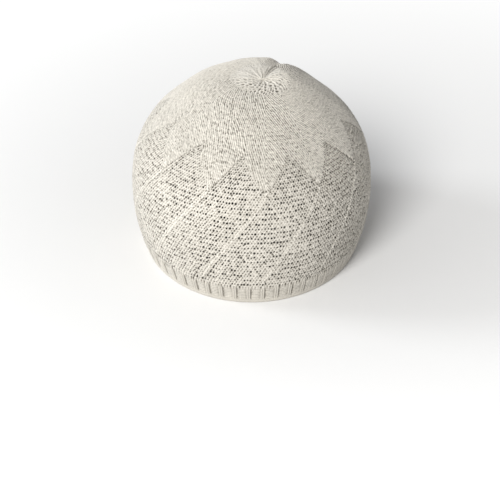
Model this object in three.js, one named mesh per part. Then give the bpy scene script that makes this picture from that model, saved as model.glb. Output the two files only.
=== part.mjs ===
// A kufi: a round cap for the head, knitted in one piece of thick cream cotton.
// It starts at a ribbed hem, goes up through a band of diamond openwork, and closes in twelve plain
// star points whose last stitches are drawn together in a gather a little off the middle of the top.
// Millimetres, +Z up. The origin is the middle of the rim, on the surface that the cap rests on.
// The back of the cap faces -Y and its front +Y.

import * as THREE from 'three';

// The cap's own sizes
const capWidth = 165.8;
const capLength = 203.8;
const capHeight = 122.9;
const wallThickness = 1.8;

// The hem, measured up the wall from the rim
const hemHeight = 13;
const hemRibCount = 51;
const hemRibHeight = 0.8;
const edgeRollHeight = 2.4;
const edgeRollStand = 0.4;

// The knitted pattern. Ridges that lean to the right are braids, and those that lean to the left are thin
const starCount = 12;
const patternTurn = THREE.MathUtils.degToRad(5.5);
const braidHeight = 1;
const thinRidgeHeight = 0.5;
const starStand = 0.3;
const starSpineHeight = 0.3;

// The gather, where the last stitches are drawn together
const gatherRight = 7.6;
const gatherBack = 3;
const gatherDepth = 2.4;
const gatherRadius = 9;
const pleatDepth = 0.9;
const pleatReach = 24;
const foldHeight = 2.4;

// Rings of the dome: how high each lies, and how broad and long it is, as shares of the cap's half sizes
const domeSections = [
  { rise: 0.0, breadth: 0.89, length: 0.962 },
  { rise: 0.12, breadth: 0.957, length: 0.985 },
  { rise: 0.25, breadth: 0.993, length: 0.998 },
  { rise: 0.4, breadth: 1.0, length: 1.0 },
  { rise: 0.55, breadth: 0.965, length: 0.965 },
  { rise: 0.7, breadth: 0.85, length: 0.85 },
  { rise: 0.82, breadth: 0.67, length: 0.67 },
  { rise: 0.91, breadth: 0.504, length: 0.504 },
  { rise: 0.97, breadth: 0.335, length: 0.335 },
  { rise: 1.0, breadth: 0.0, length: 0.0 },
];

// Where the pattern's crossings lie, as shares of the way from the hem's top to the gather
const crossingLevels = [0.022, 0.207, 0.382, 0.552];

// Soft folds that run out from the gather. turn is the way they point, in degrees to the right of the
// back. near, middle and far are shares of the way to the rim, width is a share of that way too, and
// height is a share of foldHeight, negative for a valley
const folds = [
  { turn: 159, near: 0.02, middle: 0.2, far: 0.5, width: 0.03, height: -1.0 },
  { turn: 168, near: 0.05, middle: 0.25, far: 0.6, width: 0.05, height: 0.5 },
  { turn: 141, near: 0.05, middle: 0.25, far: 0.6, width: 0.055, height: 0.35 },
  { turn: -147, near: 0.04, middle: 0.25, far: 0.6, width: 0.06, height: -0.4 },
];

// How finely the faceted surface follows the pattern
const rowsPerLevel = 5;
const columnsPerStar = 2 * rowsPerLevel;
const columnsPerRib = 3;
const crownRingCount = 14;
const liningRingCount = 15;
const liningColumnsPerStar = 5;

const halfWidth = capWidth / 2;
const halfLength = capLength / 2;
const halfStar = Math.PI / starCount;
const quarterTurn = Math.PI / 2;
const { smoothstep, lerp, euclideanModulo, degToRad } = THREE.MathUtils;

// The dome's breadth and length follow its angle of climb: 0 at the rim and a quarter turn at the top
const domeProfile = new THREE.CubicInterpolant(
  domeSections.map((section) => Math.asin(section.rise)),
  domeSections.flatMap((section) => [section.breadth, section.length]),
  2,
);

// The point of the smooth dome that lies in a given direction from its middle
function domePoint(direction) {
  const unit = direction.clone().normalize();
  const climb = Math.asin(unit.z);
  const turn = Math.atan2(unit.x, -unit.y);
  const [breadth, length] = domeProfile.evaluate(climb);
  return new THREE.Vector3(
    halfWidth * breadth * Math.sin(turn),
    -halfLength * length * Math.cos(turn),
    capHeight * unit.z,
  );
}

function directionAt(turn, climb) {
  const level = Math.cos(climb);
  return new THREE.Vector3(level * Math.sin(turn), -level * Math.cos(turn), Math.sin(climb));
}

// The middle line up the back of the dome, which gives the climb for a share of its length
class BackLine extends THREE.Curve {
  getPoint(share) {
    return domePoint(directionAt(0, share * quarterTurn));
  }
}
const backLine = new BackLine();
backLine.arcLengthDivisions = 400;
const backLineLength = backLine.getLength();

// The whole pattern slides over the dome towards the gather, by nothing at the rim and most at the top
const lastRing = domeSections.at(-2);
const topSpread = lastRing.breadth / (quarterTurn - Math.asin(lastRing.rise));
const lean = new THREE.Vector3(
  gatherRight / (halfWidth * topSpread),
  -gatherBack / (halfLength * topSpread),
  0,
);

// The smooth wall: turn goes round to the right from the back, share goes up from the rim to the gather
function wallPoint(turn, share) {
  const climb = backLine.getUtoTmapping(share) * quarterTurn;
  const direction = directionAt(turn, climb);
  direction.addScaledVector(lean, Math.sin(climb) ** 2);
  return domePoint(direction);
}

const hemShare = hemHeight / backLineLength;
const levelShares = crossingLevels.map((level) => lerp(hemShare, 1, level));
const apexShare = levelShares.at(-1);

// The dent of the gather and the soft folds around it, which the whole thickness of the wall follows
function softForm(turn, share) {
  const reach = 1 - share;
  const distance = reach * backLineLength;
  let height = -gatherDepth * Math.exp(-((distance / gatherRadius) ** 2));
  for (const fold of folds) {
    const along = smoothstep(reach, fold.near, fold.middle) * (1 - smoothstep(reach, fold.middle, fold.far));
    const swing = turn - degToRad(fold.turn);
    const across = Math.cos(swing) > 0 ? (reach * Math.sin(swing)) / fold.width : Infinity;
    height += foldHeight * fold.height * along * Math.exp(-(across ** 2));
  }
  return height;
}

// Twelve pleats gather the star points: each point's middle stays up and the cloth between sinks
function pleatForm(turn, share) {
  const distance = (1 - share) * backLineLength;
  const wave = 0.5 - 0.5 * Math.cos(starCount * (turn - patternTurn));
  return -pleatDepth * wave * Math.exp(-((distance / pleatReach) ** 2));
}

// The hem's narrow ribs and its rolled edge
function hemForm(turn, share) {
  const height = share * backLineLength;
  const pitch = (2 * Math.PI) / hemRibCount;
  const place = euclideanModulo((turn - patternTurn) / pitch + 0.5, 1) - 0.5;
  const rib = Math.max(0, 1 - columnsPerRib * Math.abs(place));
  const ribFade = smoothstep(height, edgeRollHeight, 1.6 * edgeRollHeight) * (share < 1.01 * hemShare);
  const roll = height > 0 && height < 1.01 * edgeRollHeight ? edgeRollStand : 0;
  const roundedEdge = height > 0 ? 0 : -edgeRollStand;
  return hemRibHeight * rib * ribFade + roll + roundedEdge;
}

function distanceToEven(value) {
  return Math.abs(euclideanModulo(value + 1, 2) - 1);
}

// Row number in the pattern: 0 at the feet of the lowest diamonds, 3 at the tops of the openwork
function patternRow(share) {
  const level = levelShares.findLastIndex((start) => start <= share + 1e-9);
  if (level < 0) return -1;
  if (level === levelShares.length - 1) return level + (share - apexShare) / (1 - apexShare);
  return level + (share - levelShares[level]) / (levelShares[level + 1] - levelShares[level]);
}

// Braids and thin ridges cross in diamonds, and the plain star points stand a little proud of them
function patternForm(turn, share) {
  const row = patternRow(share);
  if (row < 0) return 0;
  const across = (turn - patternTurn) / halfStar;
  const topRow = levelShares.length - 1;
  const spine = starSpineHeight * Math.max(0, 1 - 4 * distanceToEven(across));
  if (row > topRow + 1e-6) return starStand + spine;
  const braid = braidHeight * Math.max(0, 1 - rowsPerLevel * distanceToEven(across - row));
  const thin = thinRidgeHeight * Math.max(0, 1 - rowsPerLevel * distanceToEven(across + row));
  const insideStar = row - (topRow - 1) - distanceToEven(across);
  const star = insideStar > 0 ? starStand + spine : 0;
  return Math.max(braid, thin, star);
}

function outsideOffset(turn, share) {
  return softForm(turn, share) + pleatForm(turn, share) + hemForm(turn, share) + patternForm(turn, share);
}

function insideOffset(turn, share) {
  return softForm(turn, share) - wallThickness;
}

// Rings of the outside, from the rim up
function outsideRings() {
  const rings = [];
  const hemHeights = [0, 0.4 * edgeRollHeight, edgeRollHeight, 1.6 * edgeRollHeight];
  hemHeights.push(lerp(edgeRollHeight, hemHeight, 0.6), hemHeight);
  for (const height of hemHeights) {
    rings.push({ share: height / backLineLength, count: hemRibCount * columnsPerRib });
  }
  for (let level = 0; level < levelShares.length - 1; level++) {
    for (let row = 0; row < rowsPerLevel; row++) {
      const share = lerp(levelShares[level], levelShares[level + 1], row / rowsPerLevel);
      rings.push({ share, count: starCount * columnsPerStar });
    }
  }
  rings.push({ share: apexShare, count: starCount * columnsPerStar });
  for (let ring = 1; ring < crownRingCount; ring++) {
    const reach = (1 - ring / crownRingCount) ** 1.25;
    const count = starCount * 2 * Math.ceil(rowsPerLevel * reach);
    rings.push({ share: lerp(1, apexShare, reach), count });
  }
  return rings;
}

// Rings of the inside, fewer and plainer
function insideRings() {
  const rings = [];
  for (let ring = 0; ring < liningRingCount; ring++) {
    const reach = (1 - ring / liningRingCount) ** 1.1;
    const count = starCount * Math.max(2, Math.ceil(liningColumnsPerStar * reach));
    rings.push({ share: 1 - reach, count });
  }
  return rings;
}

// Joins two rings by a band of triangles. Where both could step on, the cut follows the higher corners
function joinRings(lower, upper, offsets) {
  const triangles = [];
  const lowerAt = (step) => lower.first + (step % lower.count);
  const upperAt = (step) => upper.first + (step % upper.count);
  let low = 0;
  let high = 0;
  while (low < lower.count || high < upper.count) {
    const lowerNext = (low + 1) / lower.count;
    const upperNext = (high + 1) / upper.count;
    const leftCut = offsets[lowerAt(low + 1)] + offsets[upperAt(high)];
    const rightCut = offsets[lowerAt(low)] + offsets[upperAt(high + 1)];
    const stepLower = lowerNext === upperNext ? leftCut >= rightCut : lowerNext < upperNext;
    if (stepLower) {
      triangles.push([lowerAt(low), lowerAt(low + 1), upperAt(high)]);
      low += 1;
    } else {
      triangles.push([lowerAt(low), upperAt(high + 1), upperAt(high)]);
      high += 1;
    }
  }
  return triangles;
}

// One side of the wall: rings on the smooth dome, each point then moved along the dome's normal there
function buildSkin(rings, offsetAt) {
  const points = [];
  const offsets = [];
  for (const ring of rings) {
    ring.first = points.length;
    for (let column = 0; column < ring.count; column++) {
      const turn = patternTurn + (2 * Math.PI * column) / ring.count;
      points.push(wallPoint(turn, ring.share));
      offsets.push(offsetAt(turn, ring.share));
    }
  }
  const gather = points.length;
  points.push(wallPoint(0, 1));
  offsets.push(offsetAt(patternTurn, 1));

  const triangles = [];
  for (let ring = 1; ring < rings.length; ring++) {
    triangles.push(...joinRings(rings[ring - 1], rings[ring], offsets));
  }
  const top = rings.at(-1);
  for (let column = 0; column < top.count; column++) {
    triangles.push([top.first + column, top.first + ((column + 1) % top.count), gather]);
  }

  const smooth = new THREE.BufferGeometry().setFromPoints(points);
  smooth.setIndex(triangles.flat());
  smooth.computeVertexNormals();
  const normals = smooth.getAttribute('normal');
  const moved = points.map((point, index) => {
    const normal = new THREE.Vector3().fromBufferAttribute(normals, index);
    if (index < rings[0].count) normal.setZ(0).normalize();
    return point.clone().addScaledVector(normal, offsets[index]);
  });
  return { rim: rings[0], points: moved, triangles };
}

// The closed body: outside, inside turned to face inwards, and the flat rim between them
function buildCap() {
  const outside = buildSkin(outsideRings(), outsideOffset);
  const inside = buildSkin(insideRings(), insideOffset);
  const insideStart = outside.points.length;
  const fromInside = (corner) => corner + insideStart;
  const insideTriangles = inside.triangles.map((corners) => corners.map(fromInside).reverse());
  const insideRim = { first: insideStart, count: inside.rim.count };
  const points = [...outside.points, ...inside.points];
  const rimTriangles = joinRings(insideRim, outside.rim, points.map(() => 0));

  const body = new THREE.BufferGeometry().setFromPoints(points);
  body.setIndex([...outside.triangles, ...insideTriangles, ...rimTriangles].flat());
  body.computeVertexNormals();
  return body;
}

const creamCotton = new THREE.MeshStandardMaterial({ color: 0xe9e3d6, roughness: 0.95, metalness: 0 });

const knitCap = new THREE.Mesh(buildCap(), creamCotton);
knitCap.name = 'knit_cap';

const kufi = new THREE.Group();
kufi.add(knitCap);

export default kufi;
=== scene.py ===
# A knitted kufi: the real surface of its one piece of knitting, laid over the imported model.
# Shapes are worked out in millimetres and put into the meshes in metres.
import math

import bpy
import numpy as np
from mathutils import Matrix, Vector


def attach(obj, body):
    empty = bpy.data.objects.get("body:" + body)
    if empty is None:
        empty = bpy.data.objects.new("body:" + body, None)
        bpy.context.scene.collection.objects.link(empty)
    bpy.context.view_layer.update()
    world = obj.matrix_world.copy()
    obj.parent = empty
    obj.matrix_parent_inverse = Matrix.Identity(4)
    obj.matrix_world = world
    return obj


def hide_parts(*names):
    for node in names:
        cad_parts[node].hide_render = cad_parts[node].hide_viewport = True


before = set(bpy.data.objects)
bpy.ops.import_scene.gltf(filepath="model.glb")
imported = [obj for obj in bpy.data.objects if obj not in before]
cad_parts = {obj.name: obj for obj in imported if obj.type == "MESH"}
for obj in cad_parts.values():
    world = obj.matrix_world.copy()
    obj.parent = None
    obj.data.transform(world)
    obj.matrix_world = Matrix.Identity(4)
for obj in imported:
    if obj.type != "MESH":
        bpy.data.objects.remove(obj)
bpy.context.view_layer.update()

metre = 0.001  # a millimetre in the scene's unit

# The smooth cap under the knitting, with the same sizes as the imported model

cap = {
    "width": 165.8,
    "length": 203.8,
    "height": 122.9,
    "wall": 1.8,
    "hemHeight": 13.0,
    "starCount": 12,
    "patternTurn": math.radians(5.5),  # where the first star's middle line meets the rim
    "crossings": (0.022, 0.207, 0.382, 0.552),  # levels where the ridges cross, shares from hem to gather
    "gatherRight": 7.6,
    "gatherBack": 3.0,
    "gatherDepth": 2.4,
    "gatherRadius": 9.0,
    "pleatDepth": 0.45,
    "pleatReach": 24.0,
    "foldHeight": 2.4,
}
# How high each ring of the dome lies, and how broad and long it is, as shares of the half sizes
domeSections = np.array([
    (0.0, 0.89, 0.962),
    (0.12, 0.957, 0.985),
    (0.25, 0.993, 0.998),
    (0.4, 1.0, 1.0),
    (0.55, 0.965, 0.965),
    (0.7, 0.85, 0.85),
    (0.82, 0.67, 0.67),
    (0.91, 0.504, 0.504),
    (0.97, 0.335, 0.335),
    (1.0, 0.0, 0.0),
])
# Soft folds from the gather: turn in degrees, near, middle, far and width as shares of the way, height
folds = (
    (159, 0.02, 0.2, 0.5, 0.03, -1.0),
    (168, 0.05, 0.25, 0.6, 0.05, 0.5),
    (141, 0.05, 0.25, 0.6, 0.055, 0.35),
    (-147, 0.04, 0.25, 0.6, 0.06, -0.4),
)
halfWidth = cap["width"] / 2
halfLength = cap["length"] / 2
halfStar = math.pi / cap["starCount"]
quarterTurn = math.pi / 2
fullTurn = 2 * math.pi


def curveThrough(knots, values, at):
    # A cubic through the knots, whose slope at each one is the mean of the chords beside it
    chords = np.diff(values) / np.diff(knots)
    slopes = np.concatenate([chords[:1], (chords[1:] + chords[:-1]) / 2, chords[-1:]])
    span = np.clip(np.searchsorted(knots, at, side="right") - 1, 0, len(knots) - 2)
    step = knots[span + 1] - knots[span]
    p = (at - knots[span]) / step
    rise = values[span + 1] - values[span]
    start, end = slopes[span] * step, slopes[span + 1] * step
    return values[span] + p * (start + p * (3 * rise - 2 * start - end + p * (start + end - 2 * rise)))


def smoothstep(value, low, high):
    p = np.clip((value - low) / (high - low), 0, 1)
    return p * p * (3 - 2 * p)


def domePoint(x, y, z):
    # The dome's point in a direction: its ring's half breadth and half length follow the angle of climb
    size = np.sqrt(x * x + y * y + z * z)
    rise = np.clip(z / size, -1, 1)
    climb = np.arcsin(rise)
    turn = np.arctan2(x, -y)
    knots = np.arcsin(domeSections[:, 0])
    breadth = curveThrough(knots, domeSections[:, 1], climb)
    length = curveThrough(knots, domeSections[:, 2], climb)
    return np.stack([
        halfWidth * breadth * np.sin(turn),
        -halfLength * length * np.cos(turn),
        cap["height"] * rise,
    ], -1)


backClimbs = np.linspace(0, quarterTurn, 1601)
backLine = domePoint(0 * backClimbs, -np.cos(backClimbs), np.sin(backClimbs))
backReach = np.concatenate([[0], np.cumsum(np.linalg.norm(np.diff(backLine, axis=0), axis=1))])
backLength = backReach[-1]  # the way up the back of the cap, from the rim to the gather
topSpread = domeSections[-2, 1] / (quarterTurn - math.asin(domeSections[-2, 0]))
leanRight = cap["gatherRight"] / (halfWidth * topSpread)
leanBack = -cap["gatherBack"] / (halfLength * topSpread)


def wallPoint(turn, share):
    # The smooth wall: turn goes round to the right from the back, share goes up from rim to gather.
    # The direction's sideways parts are moved towards the gather by the square of its rise
    climb = np.interp(share, backReach / backLength, backClimbs)
    level, rise = np.cos(climb), np.sin(climb)
    return domePoint(
        level * np.sin(turn) + leanRight * rise ** 2,
        -level * np.cos(turn) + leanBack * rise ** 2,
        rise,
    )


hemShare = cap["hemHeight"] / backLength
levelShares = [hemShare + (1 - hemShare) * level for level in cap["crossings"]]
ringShares = np.linspace(0, 1, 201)
ringTurns = np.linspace(0, fullTurn, 361)
ringLoops = wallPoint(ringTurns[None] + 0 * ringShares[:, None], ringShares[:, None] + 0 * ringTurns[None])
ringLengths = np.linalg.norm(np.diff(ringLoops, axis=1), axis=2).sum(axis=1)


def ringRadius(share):
    # The mean radius of the ring at that share
    return np.interp(share, ringShares, ringLengths) / fullTurn


def wallNormal(turn, share):
    # Outwards: across the steps to the right and up the wall. The rim's own normals lie level
    small = 1e-4
    share = np.minimum(share, 1 - 4 * small)
    low = np.maximum(share - small, 0)
    right = wallPoint(turn + small, share) - wallPoint(turn - small, share)
    up = wallPoint(turn, share + small) - wallPoint(turn, low)
    normal = np.cross(right, up)
    normal[..., 2] *= smoothstep(share * backLength, 0.0, 1.5)
    return normal / np.linalg.norm(normal, axis=-1, keepdims=True)


def softForm(turn, share):
    # The gather's dent and the soft folds round it, which the whole wall follows
    reach = 1 - share
    height = -cap["gatherDepth"] * np.exp(-((reach * backLength / cap["gatherRadius"]) ** 2))
    for foldTurn, near, middle, far, width, rise in folds:
        along = smoothstep(reach, near, middle) * (1 - smoothstep(reach, middle, far))
        swing = turn - math.radians(foldTurn)
        across = np.where(np.cos(swing) > 0, reach * np.sin(swing) / width, 9.0)
        height = height + cap["foldHeight"] * rise * along * np.exp(-(across ** 2))
    return height


def pleatForm(turn, share):
    # Twelve pleats: each star's middle stays up and the cloth between sinks towards the gather
    wave = 0.5 - 0.5 * np.cos(cap["starCount"] * (turn - cap["patternTurn"]))
    return -cap["pleatDepth"] * wave * np.exp(-(((1 - share) * backLength / cap["pleatReach"]) ** 2))


def wayRound(turn):
    # A turn as a share of the way round from the first star's middle line
    return (turn - cap["patternTurn"]) / fullTurn


def toEven(value):
    # How far a number is from the nearest even number
    return np.abs(np.mod(value + 1, 2) - 1)


def patternRow(share):
    # 0 at the feet of the lowest diamonds, two courses above the hem, 3 at the tops of the openwork and
    # 4 at the gather
    hemRow = -knit["footCourses"] / knit["coursesPerLevel"]
    return np.interp(share, [hemShare, *levelShares, 1], [hemRow, 0, 1, 2, 3, 4])


# The knitting's own relief

knit = {
    "waleCount": 240,  # ribs of stitches round the openwork
    "columnsPerWale": 4,
    "coursesPerLevel": 18,  # rows of stitches between two crossings, two to each row of eyelets
    "footCourses": 2,  # between the hem and the feet of the lattice
    "rowsPerCourse": 3,
    "stitchHeight": 0.75,
    "legLean": 1.5,  # how far one leg of a stitch stands over the other, for each wale that the gaps slant
    "gapSlant": 0.4,  # how far the gaps slant, by the side of the cap, in wales for each course
    "bandHeight": 0.14,
    "bandWidth": 3.3,
    "bandGap": 0.8,  # the share of a gap's depth that is left on the bands
    "thinHeight": 0.1,
    "thinWidth": 1.6,
    "grooveDepth": 0.2,
    "leftGroove": 0.5,  # how deep the groove left of a braid is, beside the one on its right
    "thinGroove": 0.45,  # how deep a thin ridge's grooves are beside a braid's, and the left one of the two
    "thinLeftGroove": 0.4,
    "grooveShade": 0.25,
    "starWale": 1.66,  # mm between the stars' wales and between their courses
    "starCourse": 1.7,
    "starLean": 0.2,  # how far the wales lean away from the middle line, in wales for each course
    "starSlants": (0.28, 0.55),  # how far the dashes slant, left and right of the middle line
    "starHeight": 0.7,
    "starStand": 0.2,
    "spineHeight": 0.08,
    "wander": 0.35,  # how far the stars' wales wander from their lines, in wales
    "boldTurn": math.radians(95),  # the side that is given a bolder relief, after the photograph's contrast
    "boldRelief": 0.9,  # how much higher the openwork's relief is there
    "boldEdge": 0.55,  # how much deeper the stars' edges are there
    "boldGaps": 0.14,  # how much deeper the gaps are there
    "lowest": -1.45,  # mm from the smooth wall: the openwork's relief stops there, clear of the inside
    "levelRise": 0.177,  # a level's mean height, as a share of the way from hem to gather
    "latticeFoot": -0.02,  # the row where the ridges begin
    "starCourseStep": 0.65,  # courses by which each star starts above the one before
    "starWaleStep": 37,  # wales between the draws of one star and the next, and those before the first
    "starWaleStart": 100,
}
# The groove along a star's edge: lengths in mm, and shares of its depth
starEdge = {
    "outside": 0.15,  # how far outside the star its middle line runs, and how far that swings
    "zigzag": 0.3,
    "width": 0.45,
    "depth": 0.6,
    "topRow": 3.02,  # the groove ends a little above the openwork's top
    "leftShare": 0.15,  # how deep it is on a star's left edge, and what the bold side adds
    "leftBold": 0.85,
    "tickShare": 0.35,  # how much of its depth the ticks make up, and what the bold side adds
    "tickBold": 0.2,
}
# How much of the height the stitches' own legs make up, and how far a gap strays in wales and courses.
# Gaps of the eyelets and of the rows between: first wale and course, half sizes, least and most depth
openLook = {
    "legShare": 0.3,
    "strays": (0.1, 0.18),
    "gaps": ((0.0, 1.0, 0.25, 0.4, 0.64, 1.42), (0.5, 0.0, 0.29, 0.34, 0.58, 1.42)),
}
starLook = {
    "legShare": 0.12,
    "strays": (0.08, 0.2),
    "gaps": ((0.0, 1.0, 0.28, 0.55, 0.7, 1.35), (0.5, 0.0, 0.27, 0.5, 0.56, 1.2)),
}
rowsPerLevel = knit["coursesPerLevel"] * knit["rowsPerCourse"]
columnCount = knit["waleCount"] * knit["columnsPerWale"]


def perStitch(wale, course, salt=0.0):
    # A steady random number from -1 to 1 for each stitch: the fraction of a large sine of its place
    jumble = np.sin(np.floor(wale) * 12.9898 + np.floor(course) * 78.233 + salt) * 43758.5453
    return 2 * np.mod(jumble, 1) - 1


waves = np.random.default_rng(5)
waveWays = waves.standard_normal((10, 3)) / 7.0
wavePhases = waves.uniform(0, fullTurn, 10)


def drift(turn, share):
    # A smooth wander from about -1 to 1 with waves of a few centimetres: sines along ten directions
    place = wallPoint(turn, share)
    return np.sin(place @ waveWays.T + wavePhases).sum(axis=-1) / 4


def stitches(wale, course, lean=0.0):
    # 0 in the gaps to 1 on the yarn: two rounded legs to a wale slant out from its middle like a V,
    # once for each course, and lean lifts one leg over the other
    side = 2 * np.mod(wale, 1) - 1
    aside = np.abs(side)
    leg = np.sin(math.pi * aside) ** 2 * (1 + lean * np.sign(side)) / (1 + np.abs(lean))
    wave = 0.5 + 0.5 * np.cos(fullTurn * (course - 0.55 * aside))
    return leg * (0.45 + 0.55 * wave) * (1 + 0.22 * perStitch(wale, course - 0.55 * aside))


def gapDepth(wale, course, least, most):
    # A steady random depth for the gap at that wale and course: mostly shallow, as its draw is squared
    draw = 0.5 + 0.5 * perStitch(np.mod(wale, knit["waleCount"]) + 0.5, course + 0.5)
    return least + (most - least) * draw ** 2


def gapShift(wale, course, strays):
    # How far the gap at that wale and course strays to the right and up, in wales and courses
    wale = np.mod(wale, knit["waleCount"]) + 0.5
    right, up = strays
    return right * perStitch(wale, course + 0.5, 1.7), up * perStitch(wale, course + 0.5, 2.9)


def openStitches(wale, course, slant, look, plain):
    # 0 and less in the gaps to 1 on the yarn: legs of stitches, less a soft slanted oval for each gap
    yarnTopAndShade = 1 - look["legShare"] * (1 - stitches(wale, course, -knit["legLean"] * slant))
    for firstWale, firstCourse, width, height, least, most in look["gaps"]:
        gapWale = np.round(wale - firstWale) + firstWale
        gapCourse = 2 * np.round((course - firstCourse) / 2) + firstCourse
        right, up = gapShift(gapWale, gapCourse, look["strays"])
        above = course - gapCourse - up
        aside = wale - gapWale - right + slant * above
        depth = gapDepth(gapWale, gapCourse, least, most) * (1 - (1 - knit["bandGap"]) * plain)
        yarnTopAndShade = yarnTopAndShade - depth * np.exp(-((aside / width) ** 2) - (above / height) ** 2)
    return yarnTopAndShade


def dottedWales(wale, course, line, dot):
    # 0 in the gaps to 1 on the yarn: plump wales, parted by grooves that deepen to a dash at each course.
    # line and dot are the grooves' depths between the dashes and at them
    aside = np.abs(np.mod(wale + 0.5, 1) - 0.5)
    stagger = course + 0.5 * np.floor(wale + 0.5)
    dash = np.clip(0.5 + 0.8 * np.cos(fullTurn * stagger), 0, 1)
    depth = line + (dot - line) * dash * (1 + 0.6 * perStitch(wale + 0.5, stagger + 0.5))
    return 1 - np.exp(-((aside / 0.25) ** 2)) * np.clip(depth, 0, 1.8)


def latticePlace(turn, share):
    # Where a point lies in the lattice: its row, its place across in half stars, and its distances in mm
    # from a braid, a thin ridge and a star's edge
    row = patternRow(share)
    across = (turn - cap["patternTurn"]) / halfStar
    halfStep = ringRadius(share) * halfStar  # mm from a braid's foot to the next thin ridge's
    levelHeight = (1 - hemShare) * backLength * knit["levelRise"]
    slant = levelHeight / np.sqrt(levelHeight ** 2 + halfStep ** 2)
    fromBand = (np.mod(across - row + 1, 2) - 1) * halfStep * slant
    fromThin = (np.mod(across + row + 1, 2) - 1) * halfStep * slant
    insideStar = (row - 2 - toEven(across)) * halfStep * slant
    return row, across, fromBand, fromThin, insideStar


def starPlace(turn, share):
    # The stars' wales run beside their middle lines: the wale and course of a point, and its star's number
    across = (turn - cap["patternTurn"]) / halfStar
    star = np.round(across / 2)
    wale = (across - 2 * star) * halfStar * ringRadius(share) / knit["starWale"]
    return wale, (share - 1) * backLength / knit["starCourse"], np.mod(star, cap["starCount"])


def ridgeTop(distance, width):
    # A low plateau with rounded shoulders, 1 in the middle and 0 past half its width
    return np.clip(1 - (2 * distance / width) ** 4, 0, 1)


def grooveBeside(distance, width, left):
    # A groove along the right side of a ridge, and a weaker one along its left side
    groove = np.exp(-(((np.abs(distance) - width / 2 - 0.25) / 0.4) ** 2))
    return groove * np.where(distance > 0, 1.0, left)


def boldness(turn):
    # 1 on the side with the bolder relief and painted shade, 0 a little before a quarter turn from there
    return smoothstep(np.cos(turn - knit["boldTurn"]), 0.2, 0.85)


def starRelief(turn, share):
    # Closer stitches with slanted dashes between them, and a low spine on the star's middle line. The wales
    # lean outwards on both sides of it, each star draws its own depths and sets its courses a little higher
    wale, course, star = starPlace(turn, share)
    wander = knit["wander"] * drift(turn, share)
    ownCourse = course + wander + knit["starCourseStep"] * star
    ownWale = wale + knit["starLean"] * np.sign(wale) * ownCourse + wander
    ownWale = ownWale + knit["starWaleStep"] * star + knit["starWaleStart"]
    slant = np.where(wale < 0, *knit["starSlants"])
    yarnTopAndShade = openStitches(ownWale, ownCourse, slant, starLook, 0)
    across = (turn - cap["patternTurn"]) / halfStar
    spine = knit["spineHeight"] * np.clip(1 - 4 * toEven(across), 0, 1)
    return knit["starStand"] + spine + knit["starHeight"] * (yarnTopAndShade - 1), yarnTopAndShade, wale, course


def fabricRelief(turn, share):
    # The height of the openwork above the smooth wall, how far up the yarn it is, and its wale and course
    row, across, fromBand, fromThin, insideStar = latticePlace(turn, share)
    wale = wayRound(turn) * knit["waleCount"]
    course = row * knit["coursesPerLevel"]
    inLattice = row > knit["latticeFoot"]
    band = ridgeTop(fromBand, knit["bandWidth"]) * inLattice
    thin = ridgeTop(fromThin, knit["thinWidth"]) * inLattice
    beside = grooveBeside(fromBand, knit["bandWidth"], knit["leftGroove"])
    besideThin = knit["thinGroove"] * grooveBeside(fromThin, knit["thinWidth"], knit["thinLeftGroove"])
    beside = np.maximum(beside, besideThin * (band <= 0))
    beside = beside * inLattice * (0.7 + 0.3 * np.cos(fullTurn * course))
    slant = knit["gapSlant"] * np.tanh(4 * np.sin(turn))
    yarnTopAndShade = openStitches(wale, course, slant, openLook, np.maximum(band, thin))
    yarnTopAndShade = yarnTopAndShade - knit["grooveShade"] * beside
    bold = boldness(turn)
    # Painted shade: on the bold side the gaps are darker as well as deeper
    yarnTopAndShade = 1 - (1 - yarnTopAndShade) * (1 + knit["boldGaps"] * bold)
    relief = knit["stitchHeight"] * (yarnTopAndShade - 0.75) - knit["grooveDepth"] * beside
    relief = relief + np.maximum(knit["bandHeight"] * band, knit["thinHeight"] * thin)
    relief = relief * (1 + knit["boldRelief"] * bold)

    starHeight, starYarn, slantWale, slantCourse = starRelief(turn, share)
    inStar = insideStar > 0
    rightEdge = np.mod(across + 1, 2) - 1 > 0
    zigzag = starEdge["zigzag"] * np.cos(math.pi * course)
    fromEdge = (insideStar + starEdge["outside"] + zigzag) / starEdge["width"]
    edge = np.exp(-(fromEdge ** 2)) * (row < starEdge["topRow"])
    tickShare = starEdge["tickShare"] + starEdge["tickBold"] * bold
    ticks = 1 - tickShare + tickShare * np.cos(fullTurn * course)
    leftTicks = starEdge["leftShare"] + starEdge["leftBold"] * bold * ticks
    edge = edge * np.where(rightEdge, ticks, leftTicks) * (1 + knit["boldEdge"] * bold)
    relief = np.where(inStar, starHeight, relief) - starEdge["depth"] * edge
    relief = np.maximum(relief, knit["lowest"])
    # Painted shade: the grooves along the stars' edges are darker, most on right edges and on the bold side
    yarnTopAndShade = np.where(inStar, starYarn, yarnTopAndShade) - starEdge["depth"] * edge
    return relief, yarnTopAndShade, np.where(inStar, slantWale, wale), np.where(inStar, slantCourse, course)


# Meshes

def evenTurns(count):
    return cap["patternTurn"] + fullTurn * np.arange(count) / count


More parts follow.
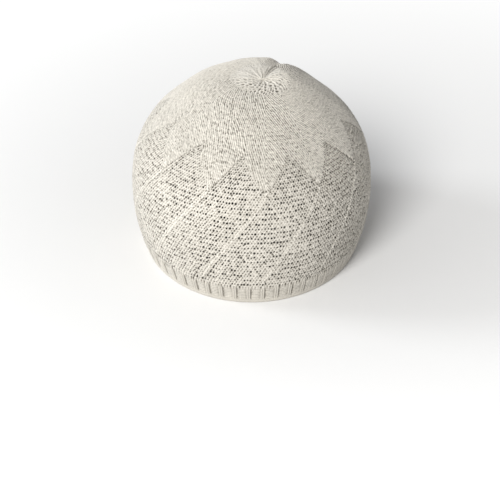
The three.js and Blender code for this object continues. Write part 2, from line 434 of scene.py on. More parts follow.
def putMesh(name, points, faces, maps, yarnTopAndShade, seams=None):
    # faces holds arrays of quads and of triangles, and each map gives (u, v) for their corners in that order
    mesh = bpy.data.meshes.new(name)
    counts = np.concatenate([np.full(len(part), part.shape[1]) for part in faces])
    corners = np.concatenate([part.ravel() for part in faces]).astype(np.int32)
    mesh.vertices.add(len(points))
    mesh.vertices.foreach_set("co", (points * metre).astype(np.float32).ravel())
    mesh.loops.add(len(corners))
    mesh.loops.foreach_set("vertex_index", corners)
    mesh.polygons.add(len(counts))
    starts = np.concatenate([[0], np.cumsum(counts)[:-1]])
    mesh.polygons.foreach_set("loop_start", starts.astype(np.int32))
    mesh.update(calc_edges=True)
    for mapName, values in maps.items():
        layer = mesh.uv_layers.new(name=mapName)
        layer.data.foreach_set("uv", values.astype(np.float32).ravel())
    # The painted shade: how far up the yarn each point lies; the material greys and darkens it lower down
    shadeLayer = mesh.attributes.new("yarnTopAndShade", "FLOAT", "POINT")
    shadeLayer.data.foreach_set("value", yarnTopAndShade.astype(np.float32))
    mesh.shade_smooth()
    if seams is not None:  # the rows that meet a neighbour get the normals of the whole surface
        mesh.normals_split_custom_set_from_vertices(seams)
    piece = bpy.data.objects.new(name, mesh)
    bpy.context.scene.collection.objects.link(piece)
    return piece


def joinRings(first, count, nextFirst, nextCount):
    # Faces from a ring up to the next, which has as many columns or half of them
    column = np.arange(nextCount)
    after = (column + 1) % nextCount
    if nextCount == count:
        return [np.stack([first + column, first + after, nextFirst + after, nextFirst + column], -1)]
    left, middle = first + 2 * column, first + 2 * column + 1
    right = first + (2 * column + 2) % count
    return [
        np.stack([left, middle, nextFirst + column], -1),
        np.stack([middle, nextFirst + after, nextFirst + column], -1),
        np.stack([middle, right, nextFirst + after], -1),
    ]


def ringGrid(shares, counts):
    # Turns and shares of every vertex, ring by ring, and the faces between the rings
    turn = np.concatenate([evenTurns(count) for count in counts])
    share = np.repeat(shares, counts)
    firsts = np.concatenate([[0], np.cumsum(counts)[:-1]])
    faces = []
    for ring in range(len(shares) - 1):
        faces += joinRings(firsts[ring], counts[ring], firsts[ring + 1], counts[ring + 1])
    return turn, share, firsts, faces


print("shapes ready, back line", round(float(backLength), 2))

# The stage: camera, floor and light. Its lengths are in metres, apart from the lens's

stage = {
    "viewElevation": math.radians(26.5),
    "viewDistance": 1.6,
    "aimBelow": 0.066,
    "aimLeft": 0.00104,
    "lens": 165.8,
    "floorSize": 12.0,
    "floorTone": 0.86,
    "floorGlow": 0.6,
    # The floor's glow: where it starts to rise, its rise for each metre, and its share near the cap
    "glowFrom": 0.18,
    "glowRise": 1.4,
    "glowNear": 0.12,
    "lightAim": 0.05,
    # Place, size, watts and colour
    "keyLight": ((-0.7, -1.95, 1.5), 1.2, 58, (1.0, 0.992, 0.975)),
    "rimLight": ((-2.2, 0.5, 1.0), 1.0, 24, (0.95, 0.98, 1.0)),
    "worldStrength": 0.33,
}


def standAt(holder, place, aim):
    holder.location = place
    holder.rotation_mode = "QUATERNION"
    holder.rotation_quaternion = (aim - place).to_track_quat("-Z", "Y")
    bpy.context.scene.collection.objects.link(holder)


def placeCamera():
    # The camera looks from behind and above, along the photograph's line of sight
    rise = stage["viewElevation"]
    middle = Vector((0, 0, cap["height"] * metre / 2))
    back = Vector((0, -math.cos(rise), math.sin(rise)))
    up = Vector((0, math.sin(rise), math.cos(rise)))
    aim = middle - up * stage["aimBelow"] - Vector((stage["aimLeft"], 0, 0))
    camera = bpy.data.objects.new("camera", bpy.data.cameras.new("camera"))
    camera.data.lens = stage["lens"]
    camera.data.clip_start = 0.1
    camera.data.clip_end = 30
    standAt(camera, middle + back * stage["viewDistance"], aim)
    bpy.context.scene.camera = camera


def addLight(name, place, size, power, colour):
    lamp = bpy.data.lights.new(name, "AREA")
    lamp.shape = "DISK"
    lamp.size = size
    lamp.energy = power
    lamp.color = colour
    standAt(bpy.data.objects.new(name, lamp), Vector(place), Vector((0, 0, stage["lightAim"])))


placeCamera()
addLight("key_light", *stage["keyLight"])
addLight("rim_light", *stage["rimLight"])
world = bpy.data.worlds.new("studio")
bpy.context.scene.world = world
world.use_nodes = True
world.node_tree.nodes["Background"].inputs["Color"].default_value = (1, 1, 1, 1)
world.node_tree.nodes["Background"].inputs["Strength"].default_value = stage["worldStrength"]
bpy.context.scene.view_settings.view_transform = "Standard"

half = stage["floorSize"] / 2
floorMesh = bpy.data.meshes.new("floor")
floorCorners = [(-half, -half, 0), (half, -half, 0), (half, half, 0), (-half, half, 0)]
floorMesh.from_pydata(floorCorners, [], [(0, 1, 2, 3)])
floor = bpy.data.objects.new("floor", floorMesh)
bpy.context.scene.collection.objects.link(floor)

# Shader maths

class Value:
    # A socket: an expression on it adds its Math nodes
    def __init__(self, tree, socket):
        self.tree = tree
        self.socket = socket

    def math(self, operation, other=None, flip=False):
        pair = [self] if other is None else [other, self] if flip else [self, other]
        return addNode(self.tree, "ShaderNodeMath", {"operation": operation}, dict(enumerate(pair)))

    def __add__(self, other):
        return self.math("ADD", other)

    def __mul__(self, other):
        return self.math("MULTIPLY", other)

    def __sub__(self, other):
        return self.math("SUBTRACT", other)

    def __rsub__(self, other):
        return self.math("SUBTRACT", other, flip=True)

    __radd__ = __add__
    __rmul__ = __mul__


def addNode(tree, kind, settings=None, sockets=None, output=0):
    # Any node: its type, then its settings, then the values or links of its sockets
    node = tree.nodes.new(kind)
    for name, value in (settings or {}).items():
        setattr(node, name, value)
    for name, value in (sockets or {}).items():
        if isinstance(value, Value):
            tree.links.new(value.socket, node.inputs[name])
        else:
            node.inputs[name].default_value = value
    return Value(tree, node.outputs[output])


def blendColours(tree, share, low, high):
    settings = {"data_type": "RGBA", "clamp_factor": True}
    return addNode(tree, "ShaderNodeMix", settings, {0: share, 6: low, 7: high}, output=2)


def newMaterial(name):
    material = bpy.data.materials.new(name)
    material.use_nodes = True
    tree = material.node_tree
    return material, tree, tree.nodes["Principled BSDF"]


floorMaterial, tree, shader = newMaterial("pale_floor")
shader.inputs["Base Color"].default_value = (*[stage["floorTone"]] * 3, 1)
place = addNode(tree, "ShaderNodeTexCoord", output="Object")
away = addNode(tree, "ShaderNodeVectorMath", {"operation": "LENGTH"}, {0: place}, output="Value")
glowShare = (away - stage["glowFrom"]) * stage["glowRise"] + stage["glowNear"]
glow = blendColours(tree, glowShare, (0, 0, 0, 1), (1, 1, 1, 1))
tree.links.new(glow.socket, shader.inputs["Emission Color"])
shader.inputs["Emission Strength"].default_value = stage["floorGlow"]
shader.inputs["Roughness"].default_value = 0.9
floor.data.materials.append(floorMaterial)

yarn = {
    "light": (0.93, 0.885, 0.80, 1),
    "gapShade": (0.17, 0.152, 0.12, 1),
    "holeShade": (0.045, 0.038, 0.028, 1),
    "pliesPerStitch": 3.0,
    "cloudScale": 45.0,
    "fuzzScale": 1800.0,
    "matte": {"Roughness": 0.9, "Specular IOR Level": 0.25, "Sheen Weight": 0.2, "Sheen Roughness": 0.6},
    "bumpStrength": 0.5,
    "bumpDistance": 0.0002,
}


def cottonMaterial():
    # Pale yarn, with painted shade grey between the stitches and dark in the eyelets, and cotton's plies and
    # fuzz
    material, tree, shader = newMaterial("cream_cotton")
    top = addNode(tree, "ShaderNodeAttribute", {"attribute_name": "yarnTopAndShade"}, output="Fac")
    stitch = addNode(tree, "ShaderNodeUVMap", {"uv_map": "knit"})
    wale = addNode(tree, "ShaderNodeSeparateXYZ", {}, {"Vector": stitch}, output="X")
    course = addNode(tree, "ShaderNodeSeparateXYZ", {}, {"Vector": stitch}, output="Y")
    side = (wale.math("FRACT") * 2 - 1).math("ABSOLUTE")
    plies = ((course - side * 1.2) * (yarn["pliesPerStitch"] * fullTurn)).math("SINE")
    place = addNode(tree, "ShaderNodeTexCoord", output="Object")
    cloudInputs = {"Vector": place, "Scale": yarn["cloudScale"], "Detail": 3.0}
    fuzzInputs = {"Vector": place, "Scale": yarn["fuzzScale"], "Detail": 2.0}
    cloud = addNode(tree, "ShaderNodeTexNoise", {}, cloudInputs)
    fuzz = addNode(tree, "ShaderNodeTexNoise", {}, fuzzInputs)
    # Painted shade: the lower a point lies on the yarn, the nearer its colour comes to the grey of the gaps
    height = top + (cloud - 0.5) * 0.2 + (fuzz - 0.5) * 0.3 + plies * 0.05
    cloth = blendColours(tree, height, yarn["gapShade"], yarn["light"])
    # Painted shade: low in the eyelets and on the holes' walls the colour runs to near black
    colour = blendColours(tree, (0.2 - top) * 2.2, cloth, yarn["holeShade"])
    tree.links.new(colour.socket, shader.inputs["Base Color"])
    bump = addNode(tree, "ShaderNodeBump", {}, {
        "Strength": yarn["bumpStrength"], "Distance": yarn["bumpDistance"], "Height": fuzz + plies * 0.3})
    tree.links.new(bump.socket, shader.inputs["Normal"])
    for socket, value in yarn["matte"].items():
        shader.inputs[socket].default_value = value
    return material


creamCotton = cottonMaterial()

# The pieces

# The eight vertices round an eyelet, in turn from its lower left: their steps of rows and of columns
ringRows = np.array((-1, -1, -1, 0, 1, 1, 1, 0))
ringColumns = np.array((-1, 0, 1, 1, 1, 0, -1, -1))
eyelets = {
    "rowsApart": 6,
    "columnsApart": 4,
    "openFrom": 0.7,  # gaps deeper than this go right through
    "radius": (0.27, 0.41),  # in mm: the least, and what a gap's depth adds
    "fullSizeBeyond": 8,  # mm past the cap's half width, where the eyelets would have their full radius
    "pitDepth": 1.2,
    # Painted shade at the eyelets, darker the deeper the gap
    # How far up the yarn an eyelet's rim and a pit's middle are painted, and what the gap's depth takes off
    "rimShade": (0.72, 0.4),
    "pitShade": (0.3, 0.9),
    "clearOfBand": 1.6,
    "clearOfThin": 0.6,
    "clearOfStar": 1.1,
    "firstRow": 3,  # the first row of eyelets on each band
}
# Painted shade of the plain inside and of the holes' own walls, as how far up the yarn they are painted
paintedInsideShade = 0.7
paintedTubeShade = -0.3


def surfacePoints(turn, share, height):
    return wallPoint(turn, share) + wallNormal(turn, share) * height[..., None]


def outsidePoints(turn, share, reliefAt):
    height = reliefAt(turn, share)[0] + softForm(turn, share) + pleatForm(turn, share)
    return surfacePoints(turn, share, height)


def seamNormals(size, numbers, turn, share, reliefAt):
    # Normals for the vertices of a piece's first and last rows, across steps to the right and up
    aside, above = fullTurn / columnCount, 0.5 / backLength
    right = outsidePoints(turn + aside, share, reliefAt) - outsidePoints(turn - aside, share, reliefAt)
    up = outsidePoints(turn, share + above, reliefAt) - outsidePoints(turn, share - above, reliefAt)
    normals = np.zeros((size, 3))
    across = np.cross(right, up)
    normals[numbers] = across / np.linalg.norm(across, axis=1, keepdims=True)
    return normals


def insideForm(turn, share):
    return softForm(turn, share) - cap["wall"]


def finishPiece(piece):
    piece.data.materials.append(creamCotton)
    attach(piece, "root")
    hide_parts("knit_cap")
    piece.data.calc_loop_triangles()
    print(piece.name, "has", len(piece.data.loop_triangles), "triangles")


def cornerMap(faces, places, period):
    # A map's corners. Each part of the faces has its own (u, v) arrays. A face across the pattern's first
    # line keeps its corners side by side, and the pole of a fan, its first corner, lies between the others
    parts = []
    for part, (u, v) in zip(faces, places):
        across = u[part]
        wraps = (across.max(axis=1, keepdims=True) - across.min(axis=1, keepdims=True)) > period / 2
        across = np.where(wraps & (across < period / 2), across + period, across)
        if len(part) > 1 and (part[:, 0] == part[0, 0]).all():
            across[:, 0] = across[:, 1:].mean(axis=1)
        parts.append(np.stack([across.ravel(), v[part].ravel()], -1))
    return np.concatenate(parts)


def bakeMap(faces, places):
    # The map for baking, which covers the square without overlaps
    return cornerMap(faces, places, 1.0) * (0.998, 1.0) + (0.001, 0.0)


# Heights on the baking map: the outside, the low edge, the inside and the high edge
bakeRows = {"outside": (0.002, 0.6), "low": (0.605, 0.625), "inside": (0.63, 0.97), "high": (0.975, 0.998)}


def bakeHeight(kind, part):
    low, high = bakeRows[kind]
    return low + (high - low) * part


def bakeEdge(kind, isOuter):
    return np.where(isOuter, bakeHeight(kind, 0), bakeHeight(kind, 1))


def eyeletPlaces(rowCount, firstRow, shares):
    # Rows and columns of the eyelets and pits on a band's grid, their shifts in mm and depths
    rows = np.arange(firstRow, rowCount, eyelets["rowsApart"])
    columns = np.arange(0, columnCount, eyelets["columnsApart"])
    row, column = (part.ravel() for part in np.meshgrid(rows, columns, indexing="ij"))
    turn = cap["patternTurn"] + fullTurn * column / columnCount
    share = shares[row]
    lattice, _, fromBand, fromThin, insideStar = latticePlace(turn, share)
    clear = np.abs(fromBand) > eyelets["clearOfBand"]
    clear &= np.abs(fromThin) > eyelets["clearOfThin"]
    clear |= lattice < knit["latticeFoot"]
    clear &= insideStar < -eyelets["clearOfStar"]
    row, column, lattice = row[clear], column[clear], lattice[clear]
    *_, least, most = openLook["gaps"][0]
    course = np.round(lattice * knit["coursesPerLevel"])
    wale = column / knit["columnsPerWale"]
    right, up = gapShift(wale, course, openLook["strays"])
    shift = np.stack([
        right * fullTurn * ringRadius(shares[row]) / knit["waleCount"],
        up * (shares[-1] - shares[0]) * backLength / (rowCount - 1) * knit["rowsPerCourse"],
    ])
    return row, column, shift, gapDepth(wale, course, least, most)


def addBand(name, shares, firstEyelet):
    # A band of the openwork: the outside, a coarser inside, tubes through the deep eyelets, pits for the
    # others, and two closed edges
    rowCount = len(shares)
    turn = evenTurns(columnCount)[None] + 0 * shares[:, None]
    share = shares[:, None] + 0 * turn
    row, column, shift, depth = eyeletPlaces(rowCount, firstEyelet, shares)
    through = depth > eyelets["openFrom"]
    relief, yarnTopAndShade, wale, course = fabricRelief(turn, share)

    # The vertices round each eyelet move onto its circle, and a pit's middle sinks
    ringRow = row[:, None] + ringRows
    ringColumn = column[:, None] + ringColumns
    angle = np.arctan2(ringRows, ringColumns)
    rowShare = (shares[-1] - shares[0]) / (rowCount - 1)
    radius = ringRadius(shares[row])
    least, more = eyelets["radius"]
    size = (least + more * depth) * radius / (halfWidth + eyelets["fullSizeBeyond"])
    wide = (size[:, None] * np.cos(angle) + shift[0][:, None]) / radius[:, None]
    high = (size[:, None] * np.sin(angle) + shift[1][:, None]) / backLength
    wide = wide - fullTurn / columnCount * (ringColumn - column[:, None])
    high = high - rowShare * (ringRow - row[:, None])
    around = (ringRow, ringColumn % columnCount)
    turn[around] += wide
    share[around] += high
    turn[row, column] += shift[0] / radius
    share[row, column] += shift[1] / backLength
    relief[row, column] = -eyelets["pitDepth"] * depth
    # Rims and pits get painted shade, darker the deeper the gap
    rimShade, rimDarker = eyelets["rimShade"]
    pitShade, pitDarker = eyelets["pitShade"]
    yarnTopAndShade[around] = np.minimum(yarnTopAndShade[around], rimShade - rimDarker * depth[:, None])
    yarnTopAndShade[row, column] = np.minimum(yarnTopAndShade[row, column], pitShade - pitDarker * depth)

    # The outside, without the four faces of each eyelet
    number = np.arange(rowCount * columnCount).reshape(rowCount, columnCount)
    after = np.roll(number, -1, axis=1)
    quads = np.stack([number[:-1], after[:-1], after[1:], number[1:]], -1)
    keep = np.ones((rowCount - 1, columnCount), bool)
    openRow, openColumn = row[through], column[through]
    for stepRow in (-1, 0):
        for stepColumn in (-1, 0):
            keep[openRow + stepRow, (openColumn + stepColumn) % columnCount] = False
    outside = quads[keep]
    lip = number[around[0][through], around[1][through]]

    # The inside, on every second column and third row
    innerShares = shares[::3]
    innerColumns = columnCount // 2
    innerCount = len(innerShares)
    innerFirst = rowCount * columnCount
    innerTurn = evenTurns(innerColumns)[None] + 0 * innerShares[:, None]
    innerShare = innerShares[:, None] + 0 * innerTurn
    innerNumber = innerFirst + np.arange(innerCount * innerColumns).reshape(innerCount, innerColumns)
    innerAfter = np.roll(innerNumber, -1, axis=1)
    innerQuads = np.stack([innerAfter[:-1], innerNumber[:-1], innerNumber[1:], innerAfter[1:]], -1)
    innerKeep = np.ones((innerCount - 1, innerColumns), bool)
    innerRow, innerColumn = openRow // 3, openColumn // 2
    for stepRow in (-1, 0):
        for stepColumn in (-1, 0):
            innerKeep[innerRow + stepRow, (innerColumn + stepColumn) % innerColumns] = False
    inside = innerQuads[innerKeep]
    border = innerNumber[innerRow[:, None] + ringRows, (innerColumn[:, None] + ringColumns) % innerColumns]
    tubeFirst = innerFirst + innerCount * innerColumns
    tubeEnd = tubeFirst + np.arange(len(openRow) * 8).reshape(-1, 8)
    tubeTurn = turn[around][through]
    tubeShare = share[around][through]

    def ringFaces(outer, inner):
        outerNext, innerNext = np.roll(outer, -1, axis=1), np.roll(inner, -1, axis=1)
        return np.stack([outer, outerNext, innerNext, inner], -1).reshape(-1, 4)

    tubes = ringFaces(lip, tubeEnd)
    insideRings = ringFaces(border, tubeEnd)[:, ::-1]
    column = np.arange(innerColumns)
    edges = []
    for outerRow, innerRowNumber, flip in ((0, 0, False), (rowCount - 1, innerCount - 1, True)):
        left, middle = number[outerRow, 2 * column], number[outerRow, 2 * column + 1]
        right = number[outerRow, (2 * column + 2) % columnCount]
        near, far = innerNumber[innerRowNumber], innerAfter[innerRowNumber]
        for strip in ((middle, left, near), (middle, near, far), (right, middle, far)):
            strip = np.stack(strip, -1)
            edges.append(strip[:, ::-1] if flip else strip)

    allTurn = np.concatenate([turn.ravel(), innerTurn.ravel(), tubeTurn.ravel()])
    allShare = np.concatenate([share.ravel(), innerShare.ravel(), tubeShare.ravel()])
    outsideHeight = relief.ravel() + softForm(turn, share).ravel() + pleatForm(turn, share).ravel()
    height = np.concatenate([
        outsideHeight,
        insideForm(innerTurn, innerShare).ravel(),
        insideForm(tubeTurn, tubeShare).ravel(),
    ])
    points = surfacePoints(allTurn, allShare, height)
    insideShade = np.full(innerTurn.size, paintedInsideShade)
    shade = np.concatenate([yarnTopAndShade.ravel(), insideShade, np.full(tubeTurn.size, paintedTubeShade)])
    allWale = wayRound(allTurn) * knit["waleCount"]
    allCourse = patternRow(allShare) * knit["coursesPerLevel"]
    allWale[:relief.size] = wale.ravel()
    allCourse[:relief.size] = course.ravel()
    faces = [outside, inside, insideRings, tubes, *edges]

    # On the baking map the tubes lie inside their own holes
    u = wayRound(allTurn)
    part = (allShare - shares[0]) / (shares[-1] - shares[0])
    isOuter = np.arange(len(points)) < innerFirst
    v = np.where(isOuter, bakeHeight("outside", part), bakeHeight("inside", part))
    tubeU, tubeV = u.copy(), v.copy()
    middleTurn, middleShare = turn[openRow, openColumn], share[openRow, openColumn]
    middleU = wayRound(middleTurn)[:, None]
    middleV = bakeHeight("outside", (middleShare - shares[0]) / (shares[-1] - shares[0]))[:, None]
    lipU, lipV = u[lip], v[lip]
    lipU = np.where(lipU - middleU > 0.5, lipU - 1, lipU)
    tubeU[tubeEnd] = middleU + 0.5 * (lipU - middleU)
    tubeV[tubeEnd] = middleV + 0.5 * (lipV - middleV)
    bakePlaces = [(u, v), (u, v), (u, v), (tubeU, tubeV)]
    for kind in ("low", "high"):
        bakePlaces += [(u, bakeEdge(kind, isOuter))] * 3
    maps = {
        "OFBake": bakeMap(faces, bakePlaces),
        "knit": cornerMap(faces, [(allWale, allCourse)] * len(faces), knit["waleCount"]),
    }
    seam = np.concatenate([number[0], number[-1]])
    seams = seamNormals(len(points), seam, allTurn[seam], allShare[seam], fabricRelief)
    finishPiece(putMesh(name, points, faces, maps, shade, seams))


def bandShares(low, high, rows):
    return np.linspace(low, high, rows + 1)


lowShares = (
    bandShares(hemShare, levelShares[0], knit["footCourses"] * knit["rowsPerCourse"])[:-1],
    bandShares(levelShares[0], levelShares[1], rowsPerLevel),
)
rowShares = [
    np.concatenate(lowShares),
    bandShares(levelShares[1], levelShares[2], rowsPerLevel),
    bandShares(levelShares[2], levelShares[3], rowsPerLevel),
]
for name, shares in zip(("openwork_low", "openwork_middle", "openwork_high"), rowShares):
    addBand(name, shares, eyelets["firstRow"])
print("openwork ready")

crown = {
    "starTop": 0.77,  # share of the way to the gather where the two crown pieces meet
    "starFade": (19.0, 29.0),  # mm from the gather over which the stars' own stitches appear
    "gatherWales": (12, 24, 48),  # drawn wales round the gather: their counts, and in mm where they double
    "waleChanges": ((7.5, 11.0), (15.0, 21.0)),
    "gatherCourse": 3.8,
    "gatherHeight": 1.1,
    "gatherGrooves": (0.33, 1.4),
    # Painted shade by the gather: how far up the yarn the far side and the bold side are painted
    "gatherShades": (0.82, 0.95),  # of the yarn on the far side and on the bold one
    "boldTurn": math.radians(18),  # the side where the drawn wales stand out most
    "eyeDepth": 1.4,
    "eyeRadius": 1.5,
    # Creases that run out from the gather: turn in degrees, start and end in mm, half width, depth
    "creases": (
        (182, 1.5, 16, 0.55, 0.7),
        (165, 3.0, 24, 0.6, 0.7),
        (157, 2.5, 38, 0.8, 1.1),
        (149, 5.0, 32, 0.7, 0.8),
    ),
}


def creaseDepths(turn, distance):
    depth = 0 * turn
    for creaseTurn, start, end, width, most in crown["creases"]:
        swing = turn - math.radians(creaseTurn)
        across = np.where(np.cos(swing) > 0, distance * np.sin(swing) / width, 9.0)
        along = smoothstep(distance, start, start + 3) * (1 - smoothstep(distance, end - 8, end))
        depth = np.maximum(depth, most * along * np.exp(-(across ** 2)))
    return depth


def gatherRelief(turn, distance):
    # Drawn wales run to the gather and halve in number on the way, with a dark pucker at each course. They
    # wander a little, stand out on the bold side and lie smooth on the far one
    wander = 0.012 * np.sin(3 * turn + 1) + 0.006 * np.sin(7 * turn + distance / 2) + 0.003 * distance
    angle = turn / fullTurn + wander
    course = distance / crown["gatherCourse"] + 0.15 * np.sin(5 * turn)
    few, *more = crown["gatherWales"]
    yarnTopAndShade = dottedWales(angle * few, course, *crown["gatherGrooves"])
    for count, (near, far) in zip(more, crown["waleChanges"]):
        finer = dottedWales(angle * count, course, *crown["gatherGrooves"])
        yarnTopAndShade = yarnTopAndShade + (finer - yarnTopAndShade) * smoothstep(distance, near, far)
    # Painted shade: the far side lies darker, and the grooves and puckers are darker on the bold side
    bold = 0.15 + 0.85 * smoothstep(np.cos(turn - crown["boldTurn"]), -0.7, 0.35)
    farShade, boldShade = crown["gatherShades"]
    sideShade = farShade + (boldShade - farShade) * bold
    yarnTopAndShade = sideShade - bold * (1 - yarnTopAndShade) * smoothstep(distance, 0.5, 2.5)
    return crown["gatherHeight"] * (yarnTopAndShade - 0.8), yarnTopAndShade


def crownRelief(turn, share):
    # The stars, then the drawn wales by the gather, its eye and the creases that run out from it
    starHeight, yarnTopAndShade, wale, course = starRelief(turn, share)
    distance = (1 - share) * backLength
    fade = smoothstep(distance, *crown["starFade"])
    drawnHeight, drawnTop = gatherRelief(turn, distance)
    crease = creaseDepths(turn, distance)
    eye = np.exp(-((distance / crown["eyeRadius"]) ** 2))
    relief = knit["starStand"] + (starHeight - knit["starStand"]) * fade + drawnHeight * (1 - fade)
    relief = relief - crease - crown["eyeDepth"] * eye
    # Painted shade: the creases and the gather's eye are darker
    yarnTopAndShade = yarnTopAndShade * fade + drawnTop * (1 - fade) - 0.45 * crease - 0.5 * eye
    return relief, yarnTopAndShade, wale, course


def addRings(name, shares, counts, innerShares, innerCounts, reliefAt, closesAtTop):
    # A piece of rings whose counts halve on the way up: outside, inside and its edges or pole
    turn, share, firsts, faces = ringGrid(np.asarray(shares), list(counts))
    relief, yarnTopAndShade, wale, course = reliefAt(turn, share)
    innerTurn, innerShare, innerFirsts, innerFaces = ringGrid(np.asarray(innerShares), list(innerCounts))
    outerSize = len(turn)
    innerFirsts = innerFirsts + outerSize
    faces = faces + [part[:, ::-1] + outerSize for part in innerFaces]
    wallParts = len(faces)
    faces += [part[:, ::-1] for part in joinRings(firsts[0], counts[0], innerFirsts[0], innerCounts[0])]
    lowParts = len(faces) - wallParts
    allTurn = np.concatenate([turn, innerTurn])
    allShare = np.concatenate([share, innerShare])
    height = np.concatenate([
        relief + softForm(turn, share) + pleatForm(turn, share),
        insideForm(innerTurn, innerShare),
    ])
    points = surfacePoints(allTurn, allShare, height)
    shade = np.concatenate([yarnTopAndShade, np.full(len(innerTurn), paintedInsideShade)])
    wale = np.concatenate([wale, innerTurn * 0])
    course = np.concatenate([course, innerShare * 0])
    isOuter = np.arange(len(points)) < outerSize
    u = wayRound(allTurn)
    topShare = 1 if closesAtTop else shares[-1]
    part = (allShare - shares[0]) / (topShare - shares[0])
    v = np.where(isOuter, bakeHeight("outside", part), bakeHeight("inside", part))
    if closesAtTop:
        for first, count, side in ((firsts[-1], counts[-1], 1), (innerFirsts[-1], innerCounts[-1], -1)):
            ring = first + np.arange(count)
            points = np.concatenate([points, points[ring].mean(axis=0)[None]])
            shade, wale, course, u = (np.append(values, values[first]) for values in (shade, wale, course, u))
            v = np.append(v, bakeHeight("outside" if side == 1 else "inside", 1))
            isOuter = np.append(isOuter, side == 1)
            pair = [ring, np.roll(ring, -1)][::side]
            faces.append(np.stack([np.full(count, len(points) - 1), *pair], -1))
    else:
        faces += joinRings(firsts[-1], counts[-1], innerFirsts[-1], innerCounts[-1])
    bakePlaces = [(u, v)] * wallParts
    bakePlaces += [(u, bakeEdge("low", isOuter))] * lowParts
    topV = v if closesAtTop else bakeEdge("high", isOuter)
    bakePlaces += [(u, topV)] * (len(faces) - len(bakePlaces))
    maps = {
        "OFBake": bakeMap(faces, bakePlaces),
        "knit": cornerMap(faces, [(wale, course)] * len(faces), 1e9),
    }
    topRing = [] if closesAtTop else firsts[-1] + np.arange(counts[-1])
    seam = np.concatenate([np.arange(counts[0]), topRing]).astype(int)
    seams = seamNormals(len(points), seam, allTurn[seam], allShare[seam], reliefAt)
    finishPiece(putMesh(name, points, faces, maps, shade, seams))


def steppedRings(steps):
    # Shares and counts for (start, end, spacing in mm, columns) steps that follow each other
    shares, counts = [], []
    for low, high, spacing, columns in steps:
        rows = max(1, round((high - low) * backLength / spacing))
        shares += list(np.linspace(low, high, rows + 1)[:-1])
        counts += [columns] * rows
    shares.append(steps[-1][1])
    counts.append(steps[-1][3])
    return shares, counts


starLow = levelShares[3]
outer = steppedRings([(starLow, crown["starTop"], 0.46, 960)])
inner = steppedRings([(starLow, crown["starTop"], 1.6, 480)])
addRings("star_crown", *outer, *inner, crownRelief, False)
outer = steppedRings([
    (crown["starTop"], 0.9, 0.45, 960),
    (0.9, 0.94, 0.4, 480),
    (0.94, 0.97, 0.4, 240),
    (0.97, 0.9975, 0.35, 120),
])
inner = steppedRings([
    (crown["starTop"], 0.78, 1.5, 480),
    (0.78, 0.9, 1.6, 240),
    (0.9, 0.97, 1.5, 120),
    (0.97, 0.996, 1.5, 60),
])
addRings("gather_crown", *outer, *inner, crownRelief, True)
print("crown ready")

hem = {
    "ribCount": 51,
    "columnsPerRib": 20,
    "legPlace": 0.085,  # half the space between a rib's two legs, as a share of the space between ribs
    "legWidth": 0.048,
    "legHeight": 0.85,
    "sideGroove": 0.185,
    "grooveWidth": 0.07,
    "grooveDepth": 0.6,
    "leftGroove": 0.35,  # how deep the groove left of a rib is, beside the one on its right
    "walesPerRib": 6,
    "courses": 8,
    "flatHeight": 0.4,
    "rollHeight": 2.2,
    "rollStand": 0.35,
    "rollShade": 0.53,  # how far up the yarn the rolled edge is painted
    "blendHeight": 2.6,  # the height over which the ribs pass into the openwork
}


def hemRelief(turn, share):
    # Narrow ribs of two legs with a groove on each side, flat knitting between them, and a rolled edge below
    height = share * backLength
    ribs = wayRound(turn) * hem["ribCount"]
    place = np.mod(ribs + 0.5, 1) - 0.5
    course = (height - hem["rollHeight"]) / (cap["hemHeight"] - hem["rollHeight"]) * hem["courses"]
    legs = np.exp(-(((np.abs(place) - hem["legPlace"]) / hem["legWidth"]) ** 2))
    groove = np.exp(-(((np.abs(place) - hem["sideGroove"]) / hem["grooveWidth"]) ** 2))
    groove = groove * np.where(place > 0, 1.0, hem["leftGroove"])
    onRib = smoothstep(hem["sideGroove"] - np.abs(place), -0.02, 0.02)
    wale = ribs * hem["walesPerRib"]
    rows = 0.22 * np.cos(fullTurn * course)
    # Painted shade: the flat knitting lies darker than the ribs' legs, with darker lines between courses
    flat = 0.46 + 0.15 * stitches(wale, course) + rows + 0.08 * perStitch(wale, course)
    strokes = 0.9 + 0.1 * np.cos(fullTurn * (course - 3 * np.abs(place)))
    # The grooves beside the ribs get painted shade, most on each rib's right
    yarnTopAndShade = flat + (0.27 + 0.54 * legs * strokes - flat) * onRib - 0.36 * groove
    ribbed = hem["flatHeight"] * (flat - 0.8) * (1 - onRib)
    ribbed = ribbed + hem["legHeight"] * (legs * strokes - 0.3) * onRib - hem["grooveDepth"] * groove
    fade = smoothstep(height, hem["rollHeight"], 1.6 * hem["rollHeight"])
    roll = hem["rollStand"] * (1 - smoothstep(height, hem["rollHeight"] * 0.8, hem["rollHeight"] * 1.2))
    # Painted shade along the rolled edge
    rolled = hem["rollShade"] + 0.08 * np.cos(fullTurn * height / 0.8)
    relief, yarnTopAndShade = ribbed * fade + roll, rolled + (yarnTopAndShade - rolled) * fade
    openHeight, openTop, _, _ = fabricRelief(turn, share)
    blend = smoothstep(height, cap["hemHeight"] - hem["blendHeight"], cap["hemHeight"])
    relief = relief + (openHeight - relief) * blend
    return relief, yarnTopAndShade + (openTop - yarnTopAndShade) * blend, wale, course


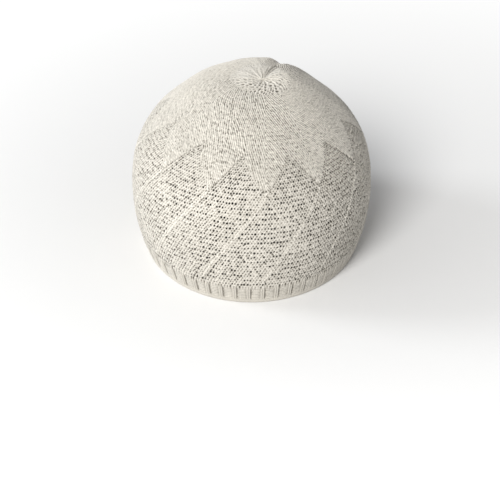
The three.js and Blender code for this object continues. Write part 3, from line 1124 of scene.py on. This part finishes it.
def addHem():
    # Rows go round the rolled edge: inside from the top, under the rim and up the outside
    columns = hem["ribCount"] * hem["columnsPerRib"]
    rollRadius = (cap["wall"] + hem["rollStand"]) / 2
    outerHeights = np.concatenate([
        np.linspace(rollRadius, hem["rollHeight"], 4)[:-1],
        np.linspace(hem["rollHeight"], cap["hemHeight"], 3 * hem["courses"] + 1),
    ])
    edgeAngles = np.linspace(0, math.pi, 13)[1:-1]
    innerHeights = np.array([cap["hemHeight"], 10.0, 7.0, 4.0, rollRadius])
    turn = evenTurns(columns)
    rings, shades, wales, courses = [], [], [], []

    def addRing(height, offset, yarnTopAndShade, wale, course):
        share = np.full(columns, height / backLength)
        rings.append(surfacePoints(turn, share, offset + softForm(turn, share)))
        shades.append(yarnTopAndShade + 0 * turn)
        wales.append(wale + 0 * turn)
        courses.append(course + 0 * turn)

    for height in innerHeights:
        addRing(height, 0 * turn - cap["wall"], paintedInsideShade, 0.0, height)
    for angle in edgeAngles:
        middle = (hem["rollStand"] - cap["wall"]) / 2
        offset = 0 * turn + middle - rollRadius * math.cos(angle)
        addRing(rollRadius * (1 - math.sin(angle)), offset, hem["rollShade"], 0.0, 0.0)
    for height in outerHeights:
        relief, yarnTopAndShade, wale, course = hemRelief(turn, np.full(columns, height / backLength))
        addRing(height, relief, yarnTopAndShade, wale, course)
    firsts = np.arange(len(rings)) * columns
    faces = []
    for ring in range(len(rings) - 1):
        faces += joinRings(firsts[ring], columns, firsts[ring + 1], columns)
    faces += joinRings(firsts[-1], columns, firsts[0], columns)
    points = np.concatenate(rings)
    u = np.tile(wayRound(turn), len(rings))
    v = np.repeat(np.arange(len(rings)) / len(rings), columns)
    closing = np.where(np.arange(len(points)) < columns, 1.0, v)
    places = [(np.concatenate(wales), np.concatenate(courses))] * len(faces)
    maps = {
        "OFBake": bakeMap(faces, [(u, v)] * (len(faces) - 1) + [(u, closing)]),
        "knit": cornerMap(faces, places, hem["ribCount"] * hem["walesPerRib"]),
    }
    top = firsts[-1] + np.arange(columns)
    seams = seamNormals(len(points), top, turn, np.full(columns, hemShare), fabricRelief)
    finishPiece(putMesh("ribbed_hem", points, faces, maps, np.concatenate(shades), seams))


addHem()
print("hem ready")
